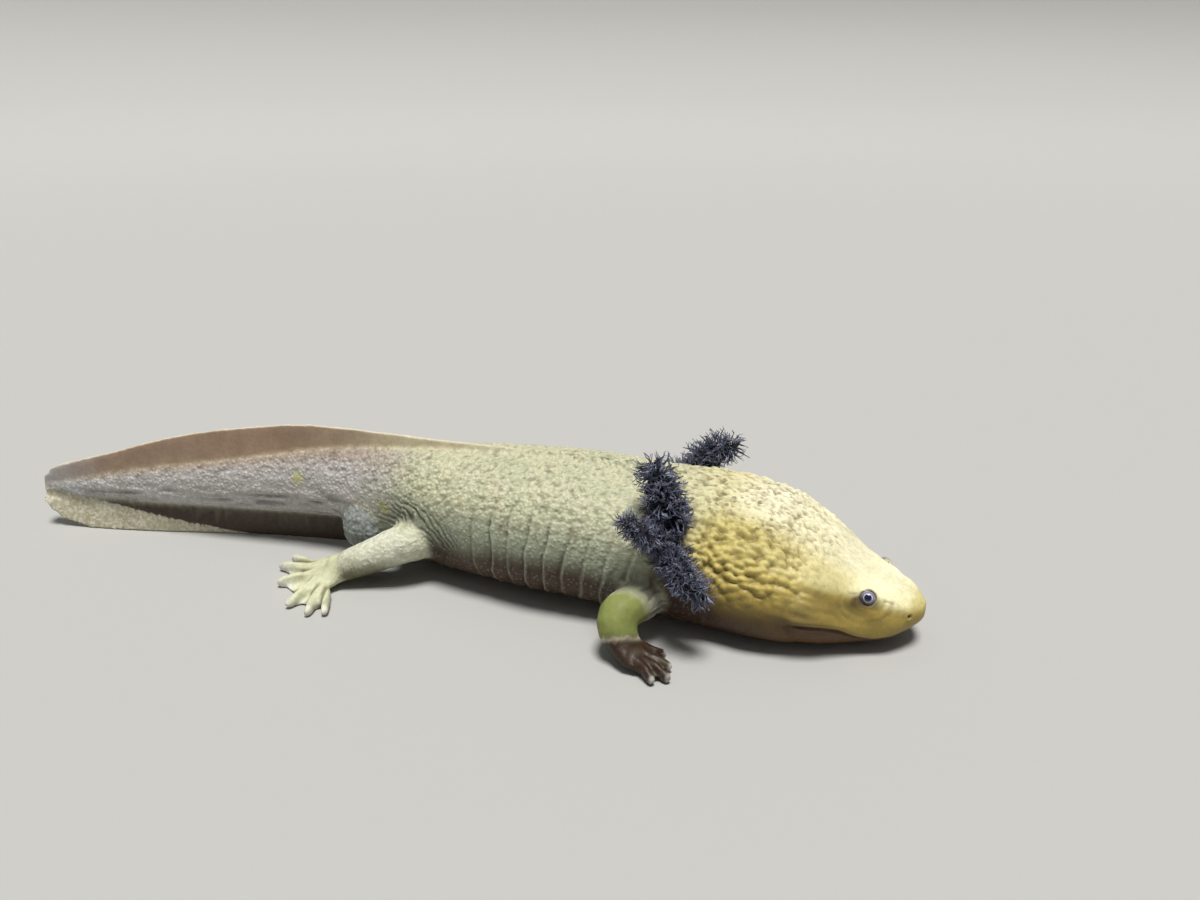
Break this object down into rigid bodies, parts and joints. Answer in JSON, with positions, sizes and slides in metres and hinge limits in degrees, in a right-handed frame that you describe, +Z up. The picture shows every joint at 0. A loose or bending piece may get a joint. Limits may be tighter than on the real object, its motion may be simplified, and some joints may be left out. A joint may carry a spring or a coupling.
{
  "type": "lake patzcuaro salamander model",
  "caption": "Life-size still model of an achoque, an axolotl-like salamander lying on its belly, with feathery gills, finned tail and webbed feet.",
  "frame": {"origin": "middle of the bounding box, at floor level", "axes": "+X along the trunk towards the head, +Y to the animal's left, +Z up"},
  "size_m": [0.2714, 0.0974, 0.0445],
  "materials": {
    "ochre_skin": "moist pebbled skin, satin",
    "olive_skin": "moist granular skin, satin",
    "mauve_skin": "moist wrinkled skin, satin",
    "fin_skin": "smooth thin fin skin, satin",
    "pale_skin": "moist fine-grained skin, satin",
    "brown_skin": "moist skin, satin",
    "gill_skin": "soft feathery filaments, satin",
    "eye_silver": "wet, glossy"
  },
  "bodies": {
    "root": {"head": "ochre_skin", "lower_jaw": "ochre_skin", "neck": "olive_skin", "trunk_front": "olive_skin", "trunk_middle": "olive_skin", "trunk_rear": "olive_skin", "upper_arm_right": "olive_skin", "upper_arm_left": "olive_skin", "forearm_right": "olive_skin", "forearm_left": "olive_skin", "tail_root": "mauve_skin", "tail_middle": "mauve_skin", "tail_end": "mauve_skin", "vent_swelling": "mauve_skin", "back_crest": "fin_skin", "tail_fin_upper": "fin_skin", "tail_fin_lower": "fin_skin", "thigh_right": "pale_skin", "thigh_left": "pale_skin", "shank_right": "pale_skin", "shank_left": "pale_skin", "foot_right": "pale_skin", "foot_left": "pale_skin", "hand_right": "brown_skin", "hand_left": "brown_skin", "gill_right_upper": "gill_skin", "gill_right_middle": "gill_skin", "gill_right_lower": "gill_skin", "gill_left_upper": "gill_skin", "gill_left_middle": "gill_skin", "gill_left_lower": "gill_skin", "eye_right": "eye_silver", "eye_left": "eye_silver"}
  },
  "joints": []
}
